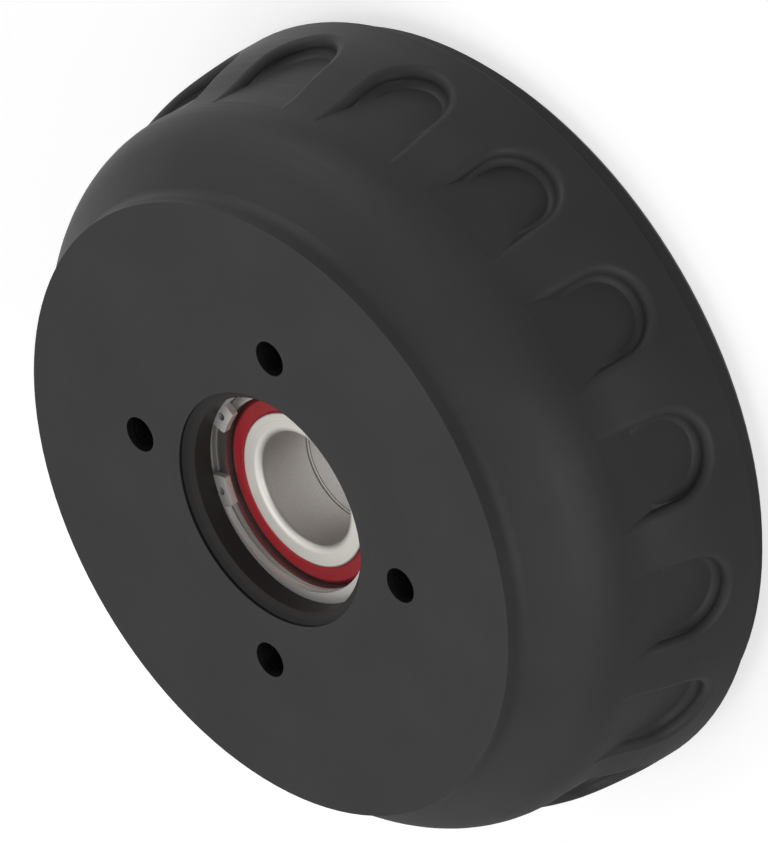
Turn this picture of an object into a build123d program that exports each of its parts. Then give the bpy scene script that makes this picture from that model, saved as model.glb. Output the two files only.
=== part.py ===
"""Brake drum with its wheel bearing: a cast drum, a circlip and a double-row ball bearing.

Millimetres. The drum's axis is Z. The open rim lies on z = 0 and the wheel face is at the top.
Depths are measured down from the wheel face, so z = OVERALL_DEPTH - depth.
"""

import os
from math import acos, cos, hypot, radians, sin, tan

from build123d import *

# Drum, outside
OVERALL_DEPTH = 82.5
BAND_RADIUS = 112.1
SHOULDER_REACH = 20.9
FACE_STEP = 5.65
STEP_FILLET = 5.0
SHOULDER_ANGLE = 45.0
SHOULDER_RADIUS = 24.5
RIB_HEIGHT = 5.1
BAND_END = 74.0
BAND_EDGE = 0.5
LIP_STEP = 4.0
LIP_CHAMFER = 2.0

# Pockets between the ribs
POCKET_COUNT = 16
POCKET_HALF_WIDTH = 12.0
POCKET_END = 63.5
POCKET_FLOOR_DROP = 0.2
POCKET_EDGE = 2.4
POCKET_FILLET = 2.2
RAMP_END = 63.3
RAMP_HOLLOW = 40.0
RAMP_CREST = 71.0

# Drum, inside
WEB_THICKNESS = 13.0
RIM_THICKNESS = 12.1
TRACK_WIDTH = 49.5
MOUTH_CHAMFER = 2.5
CAST_ALLOWANCE = 1.0
CAST_FILLET = 13.0
SHOULDER_WALL = 8.0
WEB_FILLET = 8.0
HUB_WALL = 8.0
HUB_DRAFT = 1.5
HUB_FILLET = 6.0
HUB_EDGE = 1.0

# Wheel bolts
BOLT_COUNT = 4
BOLT_CIRCLE = 100.0
BOLT_HOLE_RADIUS = 5.2

# Bore in front of the bearing
MOUTH_RADIUS = 34.9
MOUTH_DEPTH = 1.0
MOUTH_CONE = 2.1

# Circlip
CLIP_THICKNESS = 2.0
CLIP_BITE = 1.5
CLIP_INNER_RADIUS = 29.75
CLIP_OFFSET = 1.9
CLIP_GAP_AT = 180.0
CLIP_GAP = 30.5
LUG_ANGLE = 17.5
LUG_RADIUS = 27.7
LUG_HOLE_RADIUS = 1.2
LUG_HOLE_AT = 30.5
LUG_CORNER = 0.8

# Bearing
BEARING_DEPTH = 11.2
BEARING_RADIUS = 32.0
BEARING_WIDTH = 37.0
AXLE_RADIUS = 17.0
INNER_RECESS = 1.6
SHOULDER_LIP = 3.0
SHOULDER_LIP_WIDTH = 4.8
OUTER_CORNER = 1.5
OUTER_LAND = 28.5
OUTER_RIDGE = 27.2
INNER_LAND = 23.0
INNER_NECK = 21.6
INNER_ROUNDING = 2.0
INNER_CORNER = 0.5
SPLIT_CHAMFER = 0.35

# Balls and cages
BALL_RADIUS = 4.7625
BALLS_PER_ROW = 13
PITCH_RADIUS = 24.75
ROW_INSET = 10.9
CONTACT_ANGLE = 36.0
GROOVE_RATIO = 1.04
CAGE_INNER = 23.6
CAGE_OUTER = 26.1
CAGE_RIM = 6.2
CAGE_CLAW = 3.4

# Seals
SEAL_RECESS = 1.9
REAR_SEAL_RECESS = 0.4
SEAL_THICKNESS = 3.2
SEAL_BEAD = 1.3
SEAL_BEAD_DROP = 0.9
SEAL_BEAD_ROUNDING = 1.0
SEAL_LIP = 0.8

# Clearances
PRESS_CLEARANCE = 0.02
SEAT_CLEARANCE = 0.02
GROOVE_CLEARANCE = 0.05
BALL_CLEARANCE = 0.02
CAGE_CLEARANCE = 0.1
LIP_CLEARANCE = 0.05

# Places that follow from the sizes
FACE_RADIUS = BAND_RADIUS - SHOULDER_REACH
WALL_RADIUS = BAND_RADIUS - RIB_HEIGHT
LIP_RADIUS = BAND_RADIUS - LIP_STEP
TRACK_RADIUS = BAND_RADIUS - RIM_THICKNESS
CLIP_BACK = BEARING_DEPTH - SEAT_CLEARANCE
CLIP_FRONT = CLIP_BACK - CLIP_THICKNESS
SEAT_END = BEARING_DEPTH + BEARING_WIDTH + SEAT_CLEARANCE
HUB_END = SEAT_END + SHOULDER_LIP_WIDTH
SEAT_RADIUS = BEARING_RADIUS + PRESS_CLEARANCE
INNER_FRONT = BEARING_DEPTH + INNER_RECESS
SPLIT_DEPTH = INNER_FRONT + BEARING_WIDTH / 2
ROW_OFFSET = BEARING_WIDTH / 2 - ROW_INSET
FLOOR_RADIUS = WALL_RADIUS - POCKET_FLOOR_DROP
CROWN_ROOT = FLOOR_RADIUS - POCKET_EDGE - 0.5
SHOULDER_END = (
    FACE_STEP
    + (WALL_RADIUS - FACE_RADIUS) / tan(radians(SHOULDER_ANGLE))
    + SHOULDER_RADIUS * tan(radians(SHOULDER_ANGLE / 2))
)
TRACK_START = OVERALL_DEPTH - MOUTH_CHAMFER - TRACK_WIDTH


def at(radius, depth):
    """Point of a turned profile, from its radius and its depth behind the wheel face."""
    return (radius, OVERALL_DEPTH - depth)


def turned(points, rounding=None):
    """Solid of revolution about Z from (radius, depth) corners, some of them rounded."""
    radii = [0.0] * len(points)
    for corner, radius in (rounding or {}).items():
        radii[corner] = radius
    outline = FilletPolyline(*[at(r, d) for r, d in points], radius=radii, close=True)
    return revolve(Plane.XZ * make_face(outline), Axis.Z)


def pipe(inner, outer, start, end):
    """Plain ring between two radii and two depths."""
    return turned([(inner, start), (outer, start), (outer, end), (inner, end)])


def disc(radius, start, end):
    """Plain disc between two depths."""
    middle = OVERALL_DEPTH - (start + end) / 2
    return Pos(0, 0, middle) * Cylinder(radius, end - start)


def around(shape, count):
    """Copies of a shape turned about the drum's axis."""
    return [Rot(0, 0, i * 360 / count) * shape for i in range(count)]


def bell():
    """Outside of the casting: wheel face, step, shoulder, wall and the lip of the open rim."""
    slope = tan(radians(SHOULDER_ANGLE))
    apex = FACE_STEP + (WALL_RADIUS - FACE_RADIUS) / slope
    front = turned(
        [
            (0, 0),
            (FACE_RADIUS, 0),
            (FACE_RADIUS, FACE_STEP),
            (WALL_RADIUS, apex),
            (WALL_RADIUS, SHOULDER_END + RAMP_HOLLOW / 4),
            (0, SHOULDER_END + RAMP_HOLLOW / 4),
        ],
        {2: STEP_FILLET, 3: SHOULDER_RADIUS},
    )
    front -= disc(WALL_RADIUS + 1, SHOULDER_END, OVERALL_DEPTH)
    wall = disc(FLOOR_RADIUS, SHOULDER_END, BAND_END)
    lip = turned(
        [
            (0, BAND_END),
            (LIP_RADIUS, BAND_END),
            (LIP_RADIUS, OVERALL_DEPTH - LIP_CHAMFER),
            (LIP_RADIUS - LIP_CHAMFER, OVERALL_DEPTH),
            (0, OVERALL_DEPTH),
        ]
    )
    return front + wall + lip


def cavity():
    """Space inside the drum, round the hub: web side, cast shoulder, machined track and its mouth."""
    slope = tan(radians(SHOULDER_ANGLE))
    cast_radius = TRACK_RADIUS - CAST_ALLOWANCE
    inward = FACE_RADIUS - (FACE_STEP + SHOULDER_WALL / sin(radians(SHOULDER_ANGLE))) * slope
    hub_tip = SEAT_RADIUS + HUB_WALL
    cast = turned(
        [
            (0, HUB_END),
            (hub_tip, HUB_END),
            (hub_tip + HUB_DRAFT, WEB_THICKNESS),
            (inward + WEB_THICKNESS * slope, WEB_THICKNESS),
            (cast_radius, (cast_radius - inward) / slope),
            (cast_radius, OVERALL_DEPTH),
            (0, OVERALL_DEPTH),
        ],
        {1: HUB_EDGE, 2: HUB_FILLET, 3: WEB_FILLET, 4: CAST_FILLET},
    )
    track = pipe(cast_radius - 1, TRACK_RADIUS, TRACK_START, OVERALL_DEPTH)
    mouth = turned(
        [
            (cast_radius, OVERALL_DEPTH - MOUTH_CHAMFER),
            (TRACK_RADIUS, OVERALL_DEPTH - MOUTH_CHAMFER),
            (TRACK_RADIUS + MOUTH_CHAMFER, OVERALL_DEPTH),
            (cast_radius, OVERALL_DEPTH),
        ]
    )
    return cast + track + mouth


def bore():
    """Stepped bore: tapered mouth, cap seat, circlip groove, bearing seat and its rear opening."""
    groove = SEAT_RADIUS + CLIP_BITE
    groove_front = CLIP_FRONT - GROOVE_CLEARANCE
    groove_back = BEARING_DEPTH + GROOVE_CLEARANCE
    opening = BEARING_RADIUS - SHOULDER_LIP
    return turned(
        [
            (0, 0),
            (MOUTH_RADIUS, 0),
            (MOUTH_RADIUS, MOUTH_DEPTH),
            (SEAT_RADIUS, MOUTH_DEPTH + MOUTH_CONE),
            (SEAT_RADIUS, groove_front),
            (groove, groove_front),
            (groove, groove_back),
            (SEAT_RADIUS, groove_back),
            (SEAT_RADIUS, SEAT_END),
            (opening, SEAT_END),
            (opening, HUB_END),
            (0, HUB_END),
        ]
    )


def bolt_holes():
    """Holes for the wheel bolts, square to the wheel face."""
    hole = disc(BOLT_HOLE_RADIUS, 0, WEB_THICKNESS + HUB_FILLET)
    return around(Pos(BOLT_CIRCLE / 2, 0, 0) * hole, BOLT_COUNT)


def slot(half_width, floor=0.0):
    """Radial cutter with one round end, as wide as a pocket."""
    centre = OVERALL_DEPTH - (POCKET_END - POCKET_HALF_WIDTH)
    plane = Plane(origin=(floor, 0, centre), x_dir=(0, 0, 1), z_dir=(1, 0, 0))
    shape = Circle(half_width) + Pos(OVERALL_DEPTH / 2, 0) * Rectangle(OVERALL_DEPTH, 2 * half_width)
    return extrude(plane * shape, BAND_RADIUS + 10 - floor)


def ramped_ring(drop=0.0):
    """Ring that ramps up from the wall to the band, its outside lowered by a drop."""
    foot = WALL_RADIUS - POCKET_FLOOR_DROP / 4 - drop
    top = BAND_RADIUS - drop
    root = CROWN_ROOT - drop
    turn = acos(1 - (top - foot) / (RAMP_HOLLOW + RAMP_CREST))
    start = RAMP_END - (RAMP_HOLLOW + RAMP_CREST) * sin(turn)
    bend = (foot + RAMP_HOLLOW * (1 - cos(turn)), start + RAMP_HOLLOW * sin(turn))
    corner = BAND_END - BAND_EDGE
    with BuildLine() as outline:
        Polyline(at(top - BAND_EDGE, BAND_END), at(root, BAND_END), at(root, start), at(foot, start))
        RadiusArc(at(foot, start), at(*bend), -RAMP_HOLLOW)
        RadiusArc(at(*bend), at(top, RAMP_END), RAMP_CREST)
        Line(at(top, RAMP_END), at(top, corner))
        RadiusArc(at(top, corner), at(top - BAND_EDGE, BAND_END), BAND_EDGE)
    ring = revolve(Plane.XZ * make_face(outline.line), Axis.Z)
    return ring - disc(BAND_RADIUS + 1, 0, SHOULDER_END)


def crown():
    """Ribs and band: the ramped ring, cut through by the pockets, with its rims rounded."""
    plain = ramped_ring()
    ribs = plain - around(slot(POCKET_HALF_WIDTH), POCKET_COUNT)
    rims = new_edges(plain, combined=ribs).filter_by(GeomType.LINE, reverse=True)
    return fillet([e for e in rims if hypot((e @ 0.5).X, (e @ 0.5).Y) > CROWN_ROOT + 0.5], POCKET_EDGE)


def pocket_corners():
    """Hollow fillet between the floor of each pocket and its wall, fading out with the ramp."""
    sunk = 0.1
    tool = slot(POCKET_HALF_WIDTH - sunk, FLOOR_RADIUS - 20)
    tool -= disc(FLOOR_RADIUS - sunk, 0, OVERALL_DEPTH + POCKET_END)
    floor = tool.faces().filter_by(GeomType.CYLINDER).sort_by(lambda f: hypot(f.center().X, f.center().Y))[0]
    rim = [e for e in floor.edges() if (e @ 0.5).Z < OVERALL_DEPTH + 10]
    tool = fillet(rim, POCKET_FILLET)
    low = ramped_ring(POCKET_EDGE + sunk)
    block = slot(POCKET_HALF_WIDTH + 1.0) & low
    block &= pipe(FLOOR_RADIUS - 2 * sunk, FLOOR_RADIUS + POCKET_FILLET - 2 * sunk, 0, OVERALL_DEPTH)
    return around(block - tool, POCKET_COUNT)


def brake_drum():
    """The casting in one piece."""
    outside = bell() + crown() + pocket_corners()
    return outside - cavity() - bore() - bolt_holes()


def sector(start, end, radius):
    """Flat wedge between two angles, reaching past a radius."""
    reach = radius / cos(radians((end - start) / 2))
    corners = [(reach * cos(radians(a)), reach * sin(radians(a))) for a in (start, end)]
    return make_face(Polyline((0, 0), *corners, close=True))


def circlip():
    """Internal retaining ring, narrower away from its gap, with a plier hole in each lug."""
    rim = SEAT_RADIUS + CLIP_BITE - GROOVE_CLEARANCE
    toward = (cos(radians(CLIP_GAP_AT)), sin(radians(CLIP_GAP_AT)))
    shift = Pos(CLIP_OFFSET * toward[0], CLIP_OFFSET * toward[1])
    band = Circle(rim) - shift * Circle(CLIP_INNER_RADIUS)
    band -= sector(CLIP_GAP_AT - CLIP_GAP / 2, CLIP_GAP_AT + CLIP_GAP / 2, rim + 1)
    lug_ring = Circle(rim) - Circle(LUG_RADIUS)
    for side in (-1, 1):
        near = CLIP_GAP_AT + side * CLIP_GAP / 2
        far = near + side * LUG_ANGLE
        lug = lug_ring & sector(min(near, far), max(near, far), rim + 1)
        band += fillet(lug.vertices().sort_by_distance((0, 0))[0:2], LUG_CORNER)
    for side in (-1, 1):
        hole_at = CLIP_GAP_AT + side * (CLIP_GAP + LUG_ANGLE) / 2
        spot = Pos(LUG_HOLE_AT * cos(radians(hole_at)), LUG_HOLE_AT * sin(radians(hole_at)))
        band -= spot * Circle(LUG_HOLE_RADIUS)
    return Pos(0, 0, OVERALL_DEPTH - CLIP_BACK) * extrude(band, CLIP_THICKNESS)


def row_depth(side):
    """Depth of a ball row: side is -1 for the front row and 1 for the rear one."""
    return SPLIT_DEPTH + side * ROW_OFFSET


def raceway(side, outer):
    """Torus that cuts a row's groove, set over so that the balls touch at the contact angle."""
    groove = BALL_RADIUS * GROOVE_RATIO
    offset = groove - BALL_RADIUS - BALL_CLEARANCE
    away = -1 if outer else 1
    radius = PITCH_RADIUS + away * offset * cos(radians(CONTACT_ANGLE))
    depth = row_depth(side) - away * side * offset * sin(radians(CONTACT_ANGLE))
    return Pos(0, 0, OVERALL_DEPTH - depth) * Torus(radius, groove)


def outer_ring():
    """Outer ring: relieved toward both ends for the seals, with a ridge between the rows."""
    end = BEARING_DEPTH + BEARING_WIDTH
    ring = turned(
        [
            (OUTER_LAND, BEARING_DEPTH),
            (BEARING_RADIUS, BEARING_DEPTH),
            (BEARING_RADIUS, end),
            (OUTER_LAND, end),
            (OUTER_LAND, row_depth(1)),
            (OUTER_RIDGE, row_depth(1)),
            (OUTER_RIDGE, row_depth(-1)),
            (OUTER_LAND, row_depth(-1)),
        ],
        {1: OUTER_CORNER, 2: OUTER_CORNER},
    )
    return ring - raceway(-1, True) - raceway(1, True)


def inner_ring(side):
    """Half of the split inner ring: high land outboard, low neck at the split."""
    split = SPLIT_DEPTH
    face = SPLIT_DEPTH + side * BEARING_WIDTH / 2
    relief = SPLIT_DEPTH + side * SPLIT_CHAMFER
    ring = turned(
        [
            (AXLE_RADIUS, relief),
            (AXLE_RADIUS + SPLIT_CHAMFER, split),
            (INNER_NECK, split),
            (INNER_NECK, row_depth(side)),
            (INNER_LAND, row_depth(side)),
            (INNER_LAND, face),
            (AXLE_RADIUS, face),
        ],
        {5: INNER_CORNER, 6: INNER_ROUNDING},
    )
    return ring - raceway(side, False)


def ball_places():
    """Angles of the balls of one row."""
    return [90 + i * 360 / BALLS_PER_ROW for i in range(BALLS_PER_ROW)]


def ball(side, angle):
    """One ball at its place in a row."""
    place = Pos(PITCH_RADIUS, 0, OVERALL_DEPTH - row_depth(side))
    return Rot(0, 0, angle) * (place * Sphere(BALL_RADIUS))


def cage(side):
    """Snap cage of one row: closed rim toward the split, claws round the balls outboard."""
    depth = row_depth(side)
    ends = sorted((depth - side * CAGE_RIM, depth + side * CAGE_CLAW))
    body = pipe(CAGE_INNER, CAGE_OUTER, *ends)
    place = Pos(PITCH_RADIUS, 0, OVERALL_DEPTH - depth)
    hole = place * Sphere(BALL_RADIUS + CAGE_CLEARANCE)
    return body - [Rot(0, 0, angle) * hole for angle in ball_places()]


def seal(side):
    """Moulded seal: sloped bead at the outer ring, flat face, and a lip that runs on the inner ring."""
    if side < 0:
        face = BEARING_DEPTH + SEAL_RECESS
    else:
        face = BEARING_DEPTH + BEARING_WIDTH - REAR_SEAL_RECESS
    bead = OUTER_LAND - PRESS_CLEARANCE
    lip = INNER_LAND + LIP_CLEARANCE
    back = face - side * SEAL_THICKNESS
    return turned(
        [
            (bead, face - side * SEAL_BEAD_DROP),
            (bead - SEAL_BEAD, face),
            (lip + SEAL_LIP, face),
            (lip, face - side * SEAL_LIP / 2),
            (lip, face - side * SEAL_THICKNESS / 2),
            (lip + SEAL_LIP, back + side * SEAL_LIP / 2),
            (lip + 2 * SEAL_LIP, back),
            (bead, back),
        ],
        {1: SEAL_BEAD_ROUNDING, 2: SEAL_LIP / 4},
    )


def main():
    """Write one STEP file for each node."""
    nodes = {
        "brake_drum": brake_drum(),
        "circlip": circlip(),
        "bearing_outer_ring": outer_ring(),
    }
    for name, side in (("front", -1), ("rear", 1)):
        nodes[f"{name}_inner_ring"] = inner_ring(side)
        nodes[f"{name}_seal"] = seal(side)
        nodes[f"{name}_cage"] = cage(side)
        for number, angle in enumerate(ball_places(), start=1):
            nodes[f"{name}_ball_{number:02d}"] = ball(side, angle)
    os.makedirs("parts", exist_ok=True)
    for name, solid in nodes.items():
        export_step(solid, f"parts/{name}.step")


if __name__ == "__main__":
    main()
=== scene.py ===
"""Studio scene of a brake drum with its fitted wheel bearing.

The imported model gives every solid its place. This file gives each one its finish,
cuts the threads in the four bolt holes, and adds a pale floor, plain lamps and the
photograph's camera. Lengths are metres in the model's own frame, unless a comment says
millimetres: the axle is the Z axis, the open rim stands on the floor and the wheel face
looks up.
"""

import logging
import math
from dataclasses import dataclass
from enum import Enum
from typing import Any

import bpy
from mathutils import Matrix, Vector


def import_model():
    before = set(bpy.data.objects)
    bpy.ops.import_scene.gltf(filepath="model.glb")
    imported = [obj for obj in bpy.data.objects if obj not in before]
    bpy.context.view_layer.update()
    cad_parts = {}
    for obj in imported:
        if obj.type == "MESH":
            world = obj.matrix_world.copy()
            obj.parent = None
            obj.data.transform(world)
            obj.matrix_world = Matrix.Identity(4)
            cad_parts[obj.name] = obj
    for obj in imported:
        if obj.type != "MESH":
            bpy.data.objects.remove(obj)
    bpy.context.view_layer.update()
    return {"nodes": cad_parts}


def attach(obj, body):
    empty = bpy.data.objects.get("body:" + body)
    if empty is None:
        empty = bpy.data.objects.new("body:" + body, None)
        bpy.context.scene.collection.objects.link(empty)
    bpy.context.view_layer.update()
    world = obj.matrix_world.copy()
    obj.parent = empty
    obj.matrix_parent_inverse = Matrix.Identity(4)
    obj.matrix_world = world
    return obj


LOG = logging.getLogger("brake_drum")

Tree = bpy.types.NodeTree
Node = bpy.types.Node
Socket = bpy.types.NodeSocket

# Millimetres in a metre.
MM_PER_M = 1000.0

# The Mix node has several sockets of the same name, so they are taken by number.
FACTOR, NUMBER_A, NUMBER_B, COLOUR_A, COLOUR_B = 0, 2, 3, 6, 7
MIXED_NUMBER, MIXED_COLOUR = 0, 2


class Body(Enum):
    """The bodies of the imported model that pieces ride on."""

    DRUM = "drum"


class Slot(Enum):
    """A material slot of the record; no piece here takes its finish from it."""

    PAINTED_IRON = "painted_iron"


@dataclass(frozen=True)
class Zone:
    """A ring-shaped zone round the axle.

    Attributes:
        radii: Smallest and largest radius in millimetres.
        heights: Lowest and highest height above the open rim in millimetres.
    """

    radii: tuple[float, float]
    heights: tuple[float, float]


def linear(code: str) -> tuple[float, float, float, float]:
    """Turns an sRGB hex colour to linear light.

    Args:
        code: A hash sign and six hex digits.

    Returns:
        Red, green and blue in linear light, with a full alpha.
    """
    shares = [int(code[start : start + 2], 16) / 255 for start in (1, 3, 5)]
    light = [s / 12.92 if s <= 0.04045 else ((s + 0.055) / 1.055) ** 2.4 for s in shares]
    return (light[0], light[1], light[2], 1.0)


def per_metre(millimetres: float) -> float:
    """Gives how often a pattern of that many millimetres repeats in a metre."""
    return MM_PER_M / millimetres


def add(
    tree: Tree,
    kind: str,
    inputs: dict[int | str, Any] | None = None,
    **settings: Any,
) -> Node:
    """Adds one node with its settings, values and links.

    Args:
        tree: The node tree that gets the node.
        kind: The node's type name.
        inputs: What each input gets, by name or number: a value, or a socket to link.
        settings: The node's own settings, such as its operation.

    Returns:
        The new node.
    """
    node = tree.nodes.new(kind)
    for name, value in settings.items():
        setattr(node, name, value)
    for key, value in (inputs or {}).items():
        if isinstance(value, Socket):
            tree.links.new(value, node.inputs[key])
        else:
            node.inputs[key].default_value = value
    return node


class TurnedSpace:
    """Where a shading point lies on the turned object.

    Attributes:
        tree: The material's node tree.
        point: Place in metres, as the model has it.
        flat: The same place, with its height left out.
        radius: Distance from the axle in millimetres.
        height: Height above the open rim in millimetres.
        feed: Radius and height together, which grows along any turned surface.
    """

    def __init__(self, tree: Tree) -> None:
        """Adds the nodes that measure the shading point.

        Args:
            tree: The material's node tree.
        """
        self.tree = tree
        self.point = add(tree, "ShaderNodeTexCoord").outputs["Object"]
        axes = add(tree, "ShaderNodeSeparateXYZ", {0: self.point}).outputs
        self.flat = add(tree, "ShaderNodeCombineXYZ", {0: axes[0], 1: axes[1]}).outputs[0]
        away = add(tree, "ShaderNodeVectorMath", {0: self.flat}, operation="LENGTH")
        scaled = {0: away.outputs["Value"], 1: MM_PER_M}
        self.radius = add(tree, "ShaderNodeMath", scaled, operation="MULTIPLY").outputs[0]
        scaled = {0: axes[2], 1: MM_PER_M}
        self.height = add(tree, "ShaderNodeMath", scaled, operation="MULTIPLY").outputs[0]
        total = {0: self.radius, 1: self.height}
        self.feed = add(tree, "ShaderNodeMath", total, operation="ADD").outputs[0]

    def ring(self, zone: Zone) -> Socket:
        """Marks a ring-shaped zone round the axle.

        Args:
            zone: The zone.

        Returns:
            A socket that is 1 inside the zone and 0 outside it.
        """
        found = []
        for measured, (low, high) in ((self.radius, zone.radii), (self.height, zone.heights)):
            sides = {0: measured, 1: (low + high) / 2, 2: (high - low) / 2}
            found.append(add(self.tree, "ShaderNodeMath", sides, operation="COMPARE").outputs[0])
        both = {0: found[0], 1: found[1]}
        return add(self.tree, "ShaderNodeMath", both, operation="MULTIPLY").outputs[0]

    def either(self, *zones: Socket) -> Socket:
        """Joins zones.

        Args:
            zones: Sockets that are 1 inside their zone.

        Returns:
            A socket that is 1 inside any of them.
        """
        joined = zones[0]
        for zone in zones[1:]:
            pair = {0: joined, 1: zone}
            joined = add(self.tree, "ShaderNodeMath", pair, operation="MAXIMUM").outputs[0]
        return joined

    def grain(self, size: float, detail: float) -> Socket:
        """Draws irregular grain.

        Args:
            size: Size of a grain in millimetres.
            detail: How many finer layers the grain has.

        Returns:
            A socket with the grain's height from 0 to 1.
        """
        scales = {"Vector": self.point, "Scale": per_metre(size), "Detail": detail}
        return add(self.tree, "ShaderNodeTexNoise", scales).outputs[0]

    def streaks(self, pitch: float, length: float) -> Socket:
        """Draws the uneven lines that a turning or grinding tool leaves round the axle.

        Args:
            pitch: Distance between lines in millimetres.
            length: How far a line keeps its depth in millimetres.

        Returns:
            A socket with the lines' height from 0 to 1.
        """
        tree = self.tree
        slow = {0: self.flat, "Scale": per_metre(length)}
        along = add(tree, "ShaderNodeVectorMath", slow, operation="SCALE").outputs[0]
        quick = {0: self.feed, 1: 1.0 / pitch}
        across = add(tree, "ShaderNodeMath", quick, operation="MULTIPLY").outputs[0]
        stack = add(tree, "ShaderNodeCombineXYZ", {"Z": across}).outputs[0]
        both = {0: along, 1: stack}
        where = add(tree, "ShaderNodeVectorMath", both, operation="ADD").outputs[0]
        scales = {"Vector": where, "Scale": 1.0, "Detail": 2.0}
        return add(tree, "ShaderNodeTexNoise", scales).outputs[0]


@dataclass(frozen=True)
class Finish:
    """What every finish has.

    Attributes:
        name: The material's name.
        colour: Its colour as sRGB hex.
        roughness: How matt it is, from 0 to 1.
        relief: Depth of its surface pattern in millimetres.
    """

    name: str
    colour: str
    roughness: float
    relief: float

    def material(self) -> bpy.types.Material:
        """Builds the material.

        Returns:
            The material, with its pattern.
        """
        made = bpy.data.materials.new(self.name)
        made.use_nodes = True
        shader = made.node_tree.nodes["Principled BSDF"]
        shader.inputs["Base Color"].default_value = linear(self.colour)
        shader.inputs["Roughness"].default_value = self.roughness
        self.pattern(made.node_tree, shader, TurnedSpace(made.node_tree))
        made.diffuse_color = linear(self.colour)
        return made

    def pattern(self, tree: Tree, shader: Node, space: TurnedSpace) -> None:
        """Adds the finish's own pattern.

        Args:
            tree: The material's node tree.
            shader: Its surface shader.
            space: The measured shading point.
        """
        raise NotImplementedError

    def emboss(self, tree: Tree, shader: Node, height: Socket) -> None:
        """Gives the surface its relief.

        Args:
            tree: The material's node tree.
            shader: Its surface shader.
            height: The pattern's height from 0 to 1.
        """
        depth = {"Height": height, "Distance": self.relief / MM_PER_M, "Strength": 1.0}
        bump = add(tree, "ShaderNodeBump", depth)
        tree.links.new(bump.outputs[0], shader.inputs["Normal"])

    def vary(self, tree: Tree, shader: Node, amount: Socket, other: str) -> Socket:
        """Lets the colour drift towards another.

        Args:
            tree: The material's node tree.
            shader: Its surface shader.
            amount: How far the colour goes, from 0 to 1.
            other: The other colour as sRGB hex.

        Returns:
            The mixed colour's socket, already linked to the shader.
        """
        ends = {FACTOR: amount, COLOUR_A: linear(self.colour), COLOUR_B: linear(other)}
        mixed = add(tree, "ShaderNodeMix", ends, data_type="RGBA").outputs[MIXED_COLOUR]
        tree.links.new(mixed, shader.inputs["Base Color"])
        return mixed


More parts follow.
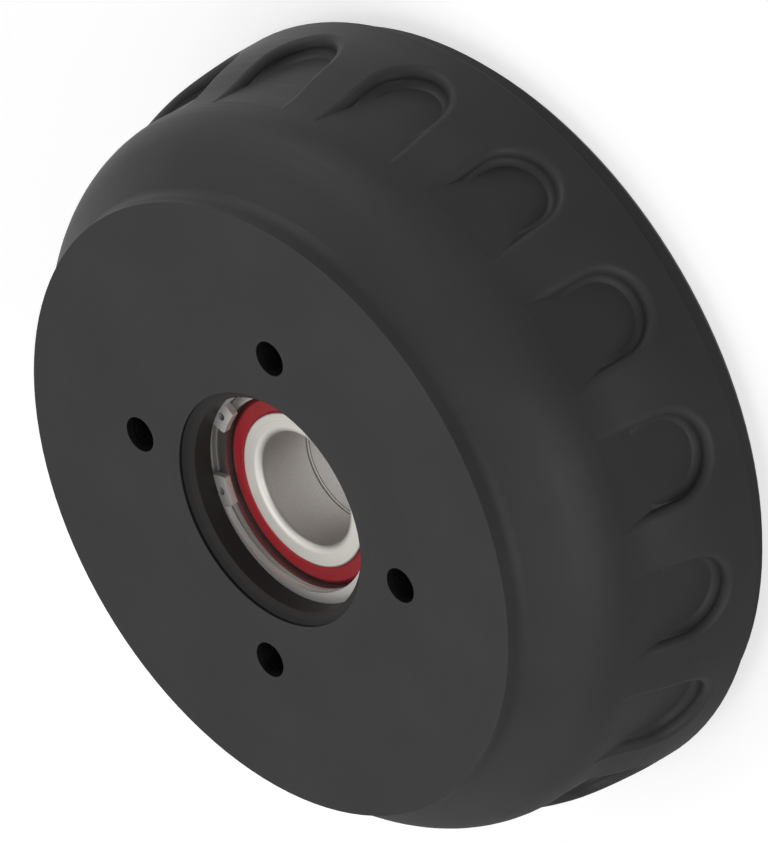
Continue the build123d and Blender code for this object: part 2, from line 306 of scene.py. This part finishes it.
@dataclass(frozen=True)
class DippedGreyIron(Finish):
    """Grey cast iron, sand cast, turned where it fits, then dipped in dark paint.

    The paint gives the eye a near-black satin. The sand's grain shows through it on
    the cast skin and fine rings show through it on the turned faces. The bore is turned
    after the dip and oiled, and it is coloured darker still as painted shade of the deep
    recess, so it is almost black. The cone of its mouth carries two rings of painted
    shade, and the bolt holes and the cone's sharp edge are painted near-black shade.
    The brake track and the circlip's groove are bare, so they are plain grey metal.

    Attributes:
        worn: The paint where it is a little worn, as sRGB hex, like all colours here.
        oil_and_shade: The oiled bore, with painted shade of its deep recess.
        mouth_shade: Painted shade on the ring deeper in the mouth, lighter than the bore's.
        cone_shade: Painted shade on the ring at the mouth's cone.
        hole: Near-black painted shade in the bolt holes and on the cone's sharp edge.
        bare: Bare iron.
        track_zone: The brake track.
        groove_zone: The circlip's groove.
        bore_zone: The oiled bore, with its painted shade.
        mouth_shade_zone: Where the mouth's painted shade lies.
        cone_shade_zone: Where the cone's painted shade lies.
        edge_zone: The cone's sharp edge.
        turned_zones: The other turned faces: the wheel face, the outside of the band,
            the groove in the open rim and the mouth.
        bolt_circle: Radius of the circle of bolt holes.
        hole_reach: Radius that takes in a bolt hole's wall.
        hole_top: Height in millimetres where the wheel face begins.
        sand_size: Size of the sand's grain in millimetres.
        ring_pitch: Distance between turned rings in millimetres, coarser than the real
            feed so that they show.
        ring_length: How far a ring keeps its depth in millimetres.
        ring_depth: The rings' share of the relief.
        ring_level: Height of the relief that the rings are cut in.
        patch_size: Size of the paint's worn patches in millimetres.
        uneven: How far the roughness strays either way.
        gloss: The paint's specular level, low because the dip dries matt.
    """

    worn: str = "#3c3c3c"
    # Painted shade: these four colours stand for shade in the oiled bore, on the mouth's cone,
    # in the bolt holes and on the cone's sharp edge.
    oil_and_shade: str = "#22201e"
    mouth_shade: str = "#282726"
    cone_shade: str = "#212020"
    hole: str = "#0d0c0c"
    bare: str = "#8d8a86"
    track_zone: Zone = Zone((99.8, 100.2), (2.4, 52.2))
    groove_zone: Zone = Zone((31.9, 33.6), (68.5, 73.4))
    bore_zone: Zone = Zone((28.0, 33.6), (28.0, 79.3))
    mouth_shade_zone: Zone = Zone((31.9, 33.6), (79.3, 82.0))
    cone_shade_zone: Zone = Zone((33.6, 34.95), (79.3, 82.45))
    edge_zone: Zone = Zone((34.7, 34.95), (81.6, 82.45))
    turned_zones: tuple[Zone, ...] = (
        Zone((0.0, 92.0), (82.3, 82.8)),
        Zone((111.9, 112.3), (0.0, 82.5)),
        Zone((106.0, 110.0), (-0.1, 8.6)),
        Zone((32.0, 35.1), (79.0, 82.3)),
    )
    bolt_circle: float = 0.05
    hole_reach: float = 0.0053
    hole_top: float = 82.4
    sand_size: float = 1.1
    ring_pitch: float = 0.9
    ring_length: float = 60.0
    ring_depth: float = 0.12
    ring_level: float = 0.45
    patch_size: float = 28.0
    uneven: float = 0.05
    gloss: float = 0.12

    def pattern(self, tree: Tree, shader: Node, space: TurnedSpace) -> None:
        """Adds sand grain, turned rings, paint patches, oil, painted shade and bare places.

        Args:
            tree: The material's node tree.
            shader: Its surface shader.
            space: The measured shading point.
        """
        track = space.ring(self.track_zone)
        groove = space.ring(self.groove_zone)
        bore = space.ring(self.bore_zone)
        mouth_shade = space.ring(self.mouth_shade_zone)
        cone_shade = space.ring(self.cone_shade_zone)
        edge = space.ring(self.edge_zone)
        holes = self.holes(space)
        others = [space.ring(zone) for zone in self.turned_zones]
        turned = space.either(track, bore, mouth_shade, cone_shade, holes, *others)
        sand = space.grain(self.sand_size, 3.0)
        rings = space.streaks(self.ring_pitch, self.ring_length)
        shallow = {0: rings, 1: self.ring_depth, 2: self.ring_level}
        faint = add(tree, "ShaderNodeMath", shallow, operation="MULTIPLY_ADD").outputs[0]
        skins = {FACTOR: turned, NUMBER_A: sand, NUMBER_B: faint}
        relief = add(tree, "ShaderNodeMix", skins, data_type="FLOAT").outputs[MIXED_NUMBER]
        self.emboss(tree, shader, relief)
        patches = space.grain(self.patch_size, 4.0)
        span = {"Value": patches, "From Min": 0.35, "From Max": 0.75, "To Max": 0.5}
        drift = add(tree, "ShaderNodeMapRange", span).outputs[0]
        colour = self.vary(tree, shader, drift, self.worn)
        # The oiled bore, the mouth's two rings, the bolt holes and the cone's edge take painted
        # shade; the track and the groove are bare iron.
        for zone, code in (
            (bore, self.oil_and_shade),
            (mouth_shade, self.mouth_shade),
            (cone_shade, self.cone_shade),
            (space.either(edge, holes), self.hole),
            (space.either(track, groove), self.bare),
        ):
            ends = {FACTOR: zone, COLOUR_A: colour, COLOUR_B: linear(code)}
            colour = add(tree, "ShaderNodeMix", ends, data_type="RGBA").outputs[MIXED_COLOUR]
        tree.links.new(colour, shader.inputs["Base Color"])
        tree.links.new(track, shader.inputs["Metallic"])
        matt = {
            "Value": rings,
            "From Min": 0.2,
            "From Max": 0.8,
            "To Min": self.roughness - self.uneven,
            "To Max": self.roughness + self.uneven,
        }
        rough = add(tree, "ShaderNodeMapRange", matt).outputs[0]
        tree.links.new(rough, shader.inputs["Roughness"])
        shader.inputs["Specular IOR Level"].default_value = self.gloss

    def holes(self, space: TurnedSpace) -> Socket:
        """Marks the walls of the four bolt holes, which stand on the X and Y axes.

        Args:
            space: The measured shading point.

        Returns:
            A socket that is 1 on the walls and 0 elsewhere.
        """
        tree = space.tree
        # The four quarters are folded onto one, which leaves two holes to look for.
        fold = {0: space.flat}
        folded = add(tree, "ShaderNodeVectorMath", fold, operation="ABSOLUTE").outputs[0]
        reaches = []
        for centre in ((self.bolt_circle, 0.0, 0.0), (0.0, self.bolt_circle, 0.0)):
            ends = {0: folded, 1: centre}
            away = add(tree, "ShaderNodeVectorMath", ends, operation="DISTANCE")
            reaches.append(away.outputs["Value"])
        pair = {0: reaches[0], 1: reaches[1]}
        least = add(tree, "ShaderNodeMath", pair, operation="MINIMUM").outputs[0]
        wall = {0: least, 1: self.hole_reach}
        near = add(tree, "ShaderNodeMath", wall, operation="LESS_THAN").outputs[0]
        lid = {0: space.height, 1: self.hole_top}
        below = add(tree, "ShaderNodeMath", lid, operation="LESS_THAN").outputs[0]
        return add(tree, "ShaderNodeMath", {0: near, 1: below}, operation="MULTIPLY").outputs[0]


@dataclass(frozen=True)
class CutIron(Finish):
    """Grey iron, cut by a tap and left oily.

    The oil and the shade of the hole leave it almost black and dull.

    Attributes:
        torn: The darker colour where the tap tore the iron, as sRGB hex.
        torn_size: Size of the torn places in millimetres.
        gloss: Its specular level.
    """

    torn: str = "#080707"
    torn_size: float = 0.5
    gloss: float = 0.03

    def pattern(self, tree: Tree, shader: Node, space: TurnedSpace) -> None:
        """Adds a torn, uneven skin.

        Args:
            tree: The material's node tree.
            shader: Its surface shader.
            space: The measured shading point.
        """
        torn = space.grain(self.torn_size, 2.0)
        self.emboss(tree, shader, torn)
        self.vary(tree, shader, torn, self.torn)
        shader.inputs["Specular IOR Level"].default_value = self.gloss


@dataclass(frozen=True)
class GroundSteel(Finish):
    """Steel with a ground or rolled skin of fine lines round the axle.

    Attributes:
        shade: The darker colour between the lines, as sRGB hex.
        line_pitch: Distance between lines in millimetres, coarser than the real
            grinding so that they show.
        line_length: How far a line keeps its depth in millimetres.
        spread: How much the lines change the roughness.
        metal: How much of the surface is bare metal, and not oil or plating.
    """

    shade: str
    line_pitch: float
    line_length: float
    spread: float
    metal: float = 1.0

    def pattern(self, tree: Tree, shader: Node, space: TurnedSpace) -> None:
        """Adds grinding lines to the relief, the colour and the roughness.

        Args:
            tree: The material's node tree.
            shader: Its surface shader.
            space: The measured shading point.
        """
        lines = space.streaks(self.line_pitch, self.line_length)
        self.emboss(tree, shader, lines)
        self.vary(tree, shader, lines, self.shade)
        matt = {
            "Value": lines,
            "From Min": 0.25,
            "From Max": 0.75,
            "To Min": self.roughness,
            "To Max": self.roughness + self.spread,
        }
        rough = add(tree, "ShaderNodeMapRange", matt).outputs[0]
        tree.links.new(rough, shader.inputs["Roughness"])
        shader.inputs["Metallic"].default_value = self.metal


@dataclass(frozen=True)
class HonedRingSteel(GroundSteel):
    """Bearing steel, ground on its faces and honed in its bore.

    The face and the bore are a pale, soft satin, the bore with a fine grit. A thin line of
    painted shade lies in the bore on each side of the seam where the two halves of the ring
    meet.

    Attributes:
        bore: Colour of the honed bore, as sRGB hex.
        pit: Colour of the bore's fine pits, as sRGB hex.
        line: Colour of the painted shade lines beside the seam, as sRGB hex.
        grit_size: Size of the pits in millimetres.
        bore_roughness: How matt the bore is, from 0 to 1.
        bore_radius: Radius of the bore in millimetres.
        slack: How far a radius may lie from that and still be in the bore, in
            millimetres.
        depths: Heights between which the bore is looked for, in millimetres.
        seam: Height of the seam above the open rim in millimetres.
        line_reach: Where a line beside the seam begins and ends, counted from the seam
            in millimetres.
    """

    bore: str = "#d0cbc7"
    pit: str = "#b4b0ad"
    # Painted shade: the thin dark lines beside the seam.
    line: str = "#605b57"
    grit_size: float = 0.5
    bore_roughness: float = 0.46
    bore_radius: float = 17.0
    slack: float = 0.1
    depths: tuple[float, float] = (0.0, 82.5)
    seam: float = 51.2
    line_reach: tuple[float, float] = (0.36, 0.65)

    def pattern(self, tree: Tree, shader: Node, space: TurnedSpace) -> None:
        """Adds the grinding lines, then the honed bore and the painted shade beside its seam.

        Args:
            tree: The material's node tree.
            shader: Its surface shader.
            space: The measured shading point.
        """
        super().pattern(tree, shader, space)
        ground = shader.inputs["Base Color"].links[0].from_socket
        satin = shader.inputs["Roughness"].links[0].from_socket
        wall = (self.bore_radius - self.slack, self.bore_radius + self.slack)
        honed = space.ring(Zone(wall, self.depths))
        grit = space.grain(self.grit_size, 2.0)
        ends = {FACTOR: grit, COLOUR_A: linear(self.bore), COLOUR_B: linear(self.pit)}
        bore = add(tree, "ShaderNodeMix", ends, data_type="RGBA").outputs[MIXED_COLOUR]
        ends = {FACTOR: honed, COLOUR_A: ground, COLOUR_B: bore}
        mixed = add(tree, "ShaderNodeMix", ends, data_type="RGBA").outputs[MIXED_COLOUR]
        # Painted shade: a thin dark line on each side of the seam.
        near, far = self.line_reach
        lines = space.either(
            space.ring(Zone(wall, (self.seam - far, self.seam - near))),
            space.ring(Zone(wall, (self.seam + near, self.seam + far))),
        )
        ends = {FACTOR: lines, COLOUR_A: mixed, COLOUR_B: linear(self.line)}
        final = add(tree, "ShaderNodeMix", ends, data_type="RGBA").outputs[MIXED_COLOUR]
        tree.links.new(final, shader.inputs["Base Color"])
        matt = {FACTOR: honed, NUMBER_A: satin, NUMBER_B: self.bore_roughness}
        rough = add(tree, "ShaderNodeMix", matt, data_type="FLOAT").outputs[MIXED_NUMBER]
        tree.links.new(rough, shader.inputs["Roughness"])


@dataclass(frozen=True)
class MouldedRubber(Finish):
    """Nitrile rubber, compression moulded.

    It gives the eye a soft, even red with a faint bloom and the fine texture of the mould.
    The sloping bead at its edge is coloured a deeper red as painted shade.

    Attributes:
        bloom: Colour of the bloom, as sRGB hex.
        deep: Colour of the painted shade on the bead, as sRGB hex.
        texture_size: Size of the mould's texture in millimetres.
        bloom_size: Size of a patch of bloom in millimetres.
        bead: Radii between which the bead's painted shade sets in, in millimetres.
        gloss: Its specular level.
    """

    bloom: str = "#a32530"
    # Painted shade: the bead at the seal's edge is coloured a darker red.
    deep: str = "#52080f"
    texture_size: float = 0.35
    bloom_size: float = 7.0
    bead: tuple[float, float] = (26.8, 27.7)
    gloss: float = 0.3

    def pattern(self, tree: Tree, shader: Node, space: TurnedSpace) -> None:
        """Adds the mould's texture, the bloom and the bead's painted shade.

        Args:
            tree: The material's node tree.
            shader: Its surface shader.
            space: The measured shading point.
        """
        self.emboss(tree, shader, space.grain(self.texture_size, 2.0))
        patches = space.grain(self.bloom_size, 3.0)
        span = {"Value": patches, "From Min": 0.4, "From Max": 0.8, "To Max": 0.5}
        drift = add(tree, "ShaderNodeMapRange", span).outputs[0]
        red = self.vary(tree, shader, drift, self.bloom)
        # Painted shade sets in across the bead's radii.
        span = {"Value": space.radius, "From Min": self.bead[0], "From Max": self.bead[1]}
        bead = add(tree, "ShaderNodeMapRange", span).outputs[0]
        ends = {FACTOR: bead, COLOUR_A: red, COLOUR_B: linear(self.deep)}
        edged = add(tree, "ShaderNodeMix", ends, data_type="RGBA").outputs[MIXED_COLOUR]
        tree.links.new(edged, shader.inputs["Base Color"])
        shader.inputs["Specular IOR Level"].default_value = self.gloss


@dataclass(frozen=True)
class MouldedPolyamide(Finish):
    """Glass-filled polyamide, injection moulded.

    It gives the eye a warm cream with short pale flecks where the glass lies near the
    skin.

    Attributes:
        fleck: Colour of the flecks, as sRGB hex.
        fibre_size: Size of a fleck in millimetres.
        ior: Its index of refraction.
    """

    fleck: str = "#e2d8bb"
    fibre_size: float = 0.6
    ior: float = 1.53

    def pattern(self, tree: Tree, shader: Node, space: TurnedSpace) -> None:
        """Adds the flecks and a slightly grainy skin.

        Args:
            tree: The material's node tree.
            shader: Its surface shader.
            space: The measured shading point.
        """
        fibres = space.grain(self.fibre_size, 2.0)
        self.emboss(tree, shader, fibres)
        span = {"Value": fibres, "From Min": 0.55, "From Max": 0.75}
        flecks = add(tree, "ShaderNodeMapRange", span).outputs[0]
        self.vary(tree, shader, flecks, self.fleck)
        shader.inputs["IOR"].default_value = self.ior


def paint(node: bpy.types.Object, material: bpy.types.Material) -> None:
    """Puts one material in every material slot of a CAD node.

    Args:
        node: The CAD node's object.
        material: Its finish.
    """
    for slot in node.material_slots:
        slot.material = material


@dataclass
class DrumCasting:
    """The drum's casting and the threads that are cut in its bolt holes.

    Attributes:
        circle_radius: Radius of the circle of bolt holes.
        hole_radius: Radius of the plain holes in the solid.
        holes: How many bolt holes there are.
        pitch: Thread pitch.
        ridge: How far the thread ridges stand into the hole.
        sink: How deep a ridge's root lies in the wall.
        end_sink: How deep the crest lies in the wall where a thread ends.
        end_width: Half a ridge's width where the thread ends, as a share of the pitch.
        growth: How much that share grows over the first turn.
        foot: Height of the lowest thread.
        top: Height of the highest thread.
        steps: Points along one turn.
    """

    circle_radius: float = 0.050
    hole_radius: float = 0.0052
    holes: int = 4
    pitch: float = 0.0015
    ridge: float = 0.0003
    sink: float = 0.00004
    end_sink: float = 0.00002
    end_width: float = 0.08
    growth: float = 0.38
    foot: float = 0.0705
    top: float = 0.0815
    steps: int = 40

    def build(self, nodes: dict[str, bpy.types.Object]) -> None:
        """Dresses the casting and cuts its threads.

        Args:
            nodes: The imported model's nodes by name.
        """
        skin = DippedGreyIron("dipped_grey_iron", "#343434", roughness=0.5, relief=0.03)
        paint(nodes["brake_drum"], skin.material())
        LOG.info("brake_drum: %s", skin.name)
        cut = CutIron("tapped_grey_iron", "#0e0d0d", roughness=0.5, relief=0.02).material()
        for place in range(self.holes):
            self.thread(place, cut)

    def thread(self, place: int, material: bpy.types.Material) -> bpy.types.Object:
        """Cuts one bolt hole's thread: a closed three-sided ridge wound up the wall.

        Args:
            place: Which hole it is, from 0.
            material: The cut iron.

        Returns:
            The thread's object, riding on the drum.
        """
        turn = math.tau * place / self.holes
        ahead, aside = self.circle_radius * math.cos(turn), self.circle_radius * math.sin(turn)
        middle = Vector((ahead, aside, 0.0))
        count = round((self.top - self.foot) / self.pitch * self.steps)
        points = []
        for step in range(count + 1):
            angle = math.tau * step / self.steps
            height = self.foot + self.pitch * step / self.steps
            fade = min(1.0, step / self.steps, (count - step) / self.steps)
            across = Vector((math.cos(angle), math.sin(angle), 0.0))
            half = self.pitch * (self.end_width + self.growth * fade)
            root = middle + across * (self.hole_radius + self.sink)
            reach = self.hole_radius - self.ridge * fade + self.end_sink * (1.0 - fade)
            crest = middle + across * reach
            points.append(root + Vector((0.0, 0.0, height - half)))
            points.append(crest + Vector((0.0, 0.0, height)))
            points.append(root + Vector((0.0, 0.0, height + half)))
        faces = [(0, 1, 2), (3 * count + 2, 3 * count + 1, 3 * count)]
        for step in range(count):
            here = 3 * step
            faces.append((here, here + 3, here + 4, here + 1))
            faces.append((here + 1, here + 4, here + 5, here + 2))
            faces.append((here + 2, here + 5, here + 3, here))
        mesh = bpy.data.meshes.new(f"bolt_thread_{place + 1}")
        mesh.from_pydata(points, [], faces)
        mesh.materials.append(material)
        mesh.update()
        piece = bpy.data.objects.new(mesh.name, mesh)
        bpy.context.scene.collection.objects.link(piece)
        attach(piece, Body.DRUM.value)
        LOG.info("%s: %d faces", piece.name, len(mesh.polygons))
        return piece


@dataclass
class HubBearing:
    """The double-row wheel bearing and the circlip that holds it.

    Attributes:
        rows: The rows of balls, each with its own inner ring, cage and seal.
        balls: Balls in one row.
        spring: The circlip's spring steel, stamped and zinc plated: a pale satin that
            glows in the dark bore.
        outer: The outer ring's bearing steel, ground, with a film of oil: grey, and
            glossy enough to mirror what stands beside it.
        inner: The inner rings' bearing steel, fine ground: pale, with hair-thin rings.
        ball: The balls' bearing steel, lapped: an even mirror with hardly a mark.
        rubber: The seals' red rubber.
        cage: The cages' cream polyamide.
    """

    rows: tuple[str, ...] = ("front", "rear")
    balls: int = 13
    spring: Finish = GroundSteel(
        "zinc_plated_spring_steel",
        "#c9c6c2",
        roughness=0.38,
        relief=0.004,
        shade="#b0adaa",
        line_pitch=0.7,
        line_length=25.0,
        spread=0.12,
        metal=0.6,
    )
    outer: Finish = GroundSteel(
        "ground_bearing_steel",
        "#a39e9b",
        roughness=0.22,
        relief=0.003,
        shade="#8d8986",
        line_pitch=0.5,
        line_length=60.0,
        spread=0.1,
        metal=0.9,
    )
    inner: Finish = HonedRingSteel(
        "honed_bearing_steel",
        "#cac7c2",
        roughness=0.5,
        relief=0.003,
        shade="#b9b6b1",
        line_pitch=0.4,
        line_length=60.0,
        spread=0.1,
    )
    ball: Finish = GroundSteel(
        "lapped_bearing_steel",
        "#b4b6b9",
        roughness=0.08,
        relief=0.0005,
        shade="#aeb0b3",
        line_pitch=0.8,
        line_length=20.0,
        spread=0.03,
    )
    rubber: Finish = MouldedRubber("moulded_red_rubber", "#9b101b", roughness=0.45, relief=0.008)
    cage: Finish = MouldedPolyamide("moulded_polyamide", "#c9bb93", roughness=0.45, relief=0.01)

    def build(self, nodes: dict[str, bpy.types.Object]) -> None:
        """Dresses the circlip, rings, cages, balls and seals.

        Args:
            nodes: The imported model's nodes by name.
        """
        numbers = range(1, self.balls + 1)
        worn: list[tuple[Finish, list[str]]] = [
            (self.spring, ["circlip"]),
            (self.outer, ["bearing_outer_ring"]),
            (self.inner, [f"{row}_inner_ring" for row in self.rows]),
            (self.rubber, [f"{row}_seal" for row in self.rows]),
            (self.cage, [f"{row}_cage" for row in self.rows]),
            (self.ball, [f"{row}_ball_{count:02d}" for row in self.rows for count in numbers]),
        ]
        for finish, names in worn:
            material = finish.material()
            for name in names:
                paint(nodes[name], material)
                LOG.info("%s: %s", name, finish.name)


@dataclass(frozen=True)
class Lamp:
    """A square, soft lamp that points at the drum.

    Attributes:
        name: The lamp's name.
        place: Where it hangs.
        side: Length of its side.
        level: How bright a white surface that faces it turns, from 0 to 1.
    """

    name: str
    place: tuple[float, float, float]
    side: float
    level: float

    def hang(self, aim: Vector) -> None:
        """Makes the lamp.

        Args:
            aim: The point that it is turned to.
        """
        away = Vector(self.place) - aim
        light = bpy.data.lights.new(self.name, "AREA")
        light.size = self.side
        light.energy = self.level * math.pi**2 * away.length_squared
        lamp = bpy.data.objects.new(self.name, light)
        bpy.context.scene.collection.objects.link(lamp)
        turn = (-away).to_track_quat("-Z", "Y").to_matrix().to_4x4()
        lamp.matrix_world = Matrix.Translation(self.place) @ turn


@dataclass
class Studio:
    """The pale floor, the white surroundings and the lamps.

    Attributes:
        reach: Half the floor's side.
        drop: How far the floor lies below the open rim, so that they share no plane.
        board: The floor's colour as the camera sees it, as sRGB hex.
        board_else: Its colour for all other rays, darker so that it lights the drum less.
        sky: Level of the surroundings on the object, where white is 1.
        shown: The floor's own white as the camera sees it, low enough to keep a soft
            shadow beside the drum.
        glow: The floor's own white as the drum's gloss sees it.
        fade: Distance from the axle, to either side, over which that glow grows from its
            least at the lower right to all at the upper left.
        least: The least share of that glow.
        foot: Radius of the floor below the drum, in millimetres, which glows in full.
        aim: The point that all lamps are turned to.
        lamps: The lamps.
    """

    reach: float = 4.0
    drop: float = 0.0002
    board: str = "#cfcfcf"
    board_else: str = "#808080"
    sky: float = 0.24
    shown: float = 0.62
    glow: float = 0.86
    fade: float = 0.15
    least: float = 0.25
    foot: float = 90.0
    aim: tuple[float, float, float] = (0.0, 0.0, 0.05)
    lamps: tuple[Lamp, ...] = (
        Lamp("key_lamp", (-1.05, 1.44, 0.42), side=0.9, level=0.38),
        Lamp("side_lamp", (1.73, 0.1, 0.52), side=1.3, level=0.62),
        Lamp("face_lamp", (-0.15, -0.15, 1.85), side=1.8, level=0.38),
    )

    def build(self) -> None:
        """Lays the floor, sets the surroundings and hangs the lamps."""
        self.lay_floor()
        self.surround()
        for lamp in self.lamps:
            lamp.hang(Vector(self.aim))
        LOG.info("studio: %d lamps", len(self.lamps))

    def seen(self, tree: Tree) -> Socket:
        """Tells rays that show the surroundings from rays that light the object.

        Args:
            tree: The node tree that asks.

        Returns:
            A socket that is 1 for camera, glossy and transmission rays, and else 0.
        """
        path = add(tree, "ShaderNodeLightPath").outputs
        some = {0: path["Is Camera Ray"], 1: path["Is Glossy Ray"]}
        either = add(tree, "ShaderNodeMath", some, operation="MAXIMUM").outputs[0]
        every = {0: either, 1: path["Is Transmission Ray"]}
        return add(tree, "ShaderNodeMath", every, operation="MAXIMUM").outputs[0]

    def lay_floor(self) -> None:
        """Lays a matt white floor, on which the drum keeps a faint shadow."""
        reach = self.reach
        corners = [
            (-reach, -reach, 0.0),
            (reach, -reach, 0.0),
            (reach, reach, 0.0),
            (-reach, reach, 0.0),
        ]
        mesh = bpy.data.meshes.new("floor")
        mesh.from_pydata(corners, [], [(0, 1, 2, 3)])
        floor = bpy.data.objects.new("floor", mesh)
        floor.location.z = -self.drop
        bpy.context.scene.collection.objects.link(floor)
        made = bpy.data.materials.new("matt_white_board")
        made.use_nodes = True
        self.whiten(made.node_tree)
        mesh.materials.append(made)

    def whiten(self, tree: Tree) -> None:
        """Gives the floor its matt colour and its own white.

        Args:
            tree: The floor material's node tree.
        """
        tree.nodes.clear()
        seen = self.seen(tree)
        direct = add(tree, "ShaderNodeLightPath").outputs["Is Camera Ray"]
        tones = {
            FACTOR: direct,
            COLOUR_A: linear(self.board_else),
            COLOUR_B: linear(self.board),
        }
        tone = add(tree, "ShaderNodeMix", tones, data_type="RGBA").outputs[MIXED_COLOUR]
        card = add(tree, "ShaderNodeBsdfDiffuse", {"Color": tone}).outputs[0]
        space = TurnedSpace(tree)
        axes = add(tree, "ShaderNodeSeparateXYZ", {0: space.point}).outputs
        sides = {0: axes[1], 1: axes[0]}
        lean = add(tree, "ShaderNodeMath", sides, operation="SUBTRACT").outputs[0]
        span = {
            "Value": lean,
            "From Min": -self.fade,
            "From Max": self.fade,
            "To Min": self.least,
        }
        graded = add(tree, "ShaderNodeMapRange", span).outputs[0]
        patch = {0: space.radius, 1: self.foot}
        below = add(tree, "ShaderNodeMath", patch, operation="LESS_THAN").outputs[0]
        shares = {0: graded, 1: below}
        share = add(tree, "ShaderNodeMath", shares, operation="MAXIMUM").outputs[0]
        gloss = {0: share, 1: self.glow}
        mirrored = add(tree, "ShaderNodeMath", gloss, operation="MULTIPLY").outputs[0]
        views = {FACTOR: direct, NUMBER_A: mirrored, NUMBER_B: self.shown}
        level = add(tree, "ShaderNodeMix", views, data_type="FLOAT").outputs[MIXED_NUMBER]
        rays = {0: seen, 1: level}
        strength = add(tree, "ShaderNodeMath", rays, operation="MULTIPLY").outputs[0]
        own = {"Color": linear("#ffffff"), "Strength": strength}
        glow = add(tree, "ShaderNodeEmission", own).outputs[0]
        both = add(tree, "ShaderNodeAddShader", {0: card, 1: glow}).outputs[0]
        add(tree, "ShaderNodeOutputMaterial", {0: both})

    def surround(self) -> None:
        """Sets white surroundings that light the object at their own level."""
        world = bpy.data.worlds.new("white_surroundings")
        bpy.context.scene.world = world
        world.use_nodes = True
        tree = world.node_tree
        tree.nodes.clear()
        span = {"Value": self.seen(tree), "To Min": self.sky, "To Max": 1.0}
        level = add(tree, "ShaderNodeMapRange", span).outputs[0]
        sky = {"Color": linear("#ffffff"), "Strength": level}
        white = add(tree, "ShaderNodeBackground", sky).outputs[0]
        add(tree, "ShaderNodeOutputWorld", {0: white})


@dataclass(frozen=True)
class PhotoCamera:
    """The photograph's viewpoint, at equal angles to all three axes.

    A very long lens stands in for the photograph's parallel view.

    Attributes:
        lens: Focal length in millimetres.
        sensor: The sensor's long side in millimetres.
        span: What the picture's long side takes in.
        far: Distance beyond which the camera sees nothing.
        face_height: Height of the wheel face, whose middle the framing starts from.
        across: How far the picture's middle lies to the right of the face's middle.
        above: How far the picture's middle lies above the face's middle.
    """

    lens: float = 1500.0
    sensor: float = 36.0
    span: float = 0.22904
    far: float = 40.0
    face_height: float = 0.0825
    across: float = 0.03097
    above: float = 0.02393

    def place(self) -> None:
        """Makes the camera and hands it to the scene."""
        right = Vector((1.0, 0.0, -1.0)).normalized()
        back = Vector((1.0, 1.0, 1.0)).normalized()
        up = back.cross(right)
        face = Vector((0.0, 0.0, self.face_height))
        middle = face + right * self.across + up * self.above
        middle -= back * (self.face_height / 2 * back.z)
        spot = middle + back * (self.span * self.lens / self.sensor)
        data = bpy.data.cameras.new("photo_camera")
        data.lens = self.lens
        data.sensor_width = self.sensor
        data.clip_end = self.far
        camera = bpy.data.objects.new("photo_camera", data)
        bpy.context.scene.collection.objects.link(camera)
        turn = Matrix((right, up, back)).transposed().to_4x4()
        camera.matrix_world = Matrix.Translation(spot) @ turn
        bpy.context.scene.camera = camera


def main() -> None:
    """Loads the model, dresses it piece by piece, and sets up the studio."""
    logging.basicConfig(level=logging.INFO, format="%(name)s %(message)s")
    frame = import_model()
    nodes = frame["nodes"]
    DrumCasting().build(nodes)
    HubBearing().build(nodes)
    Studio().build()
    PhotoCamera().place()
    bpy.context.scene.view_settings.view_transform = "Standard"


if __name__ == "__main__":
    main()
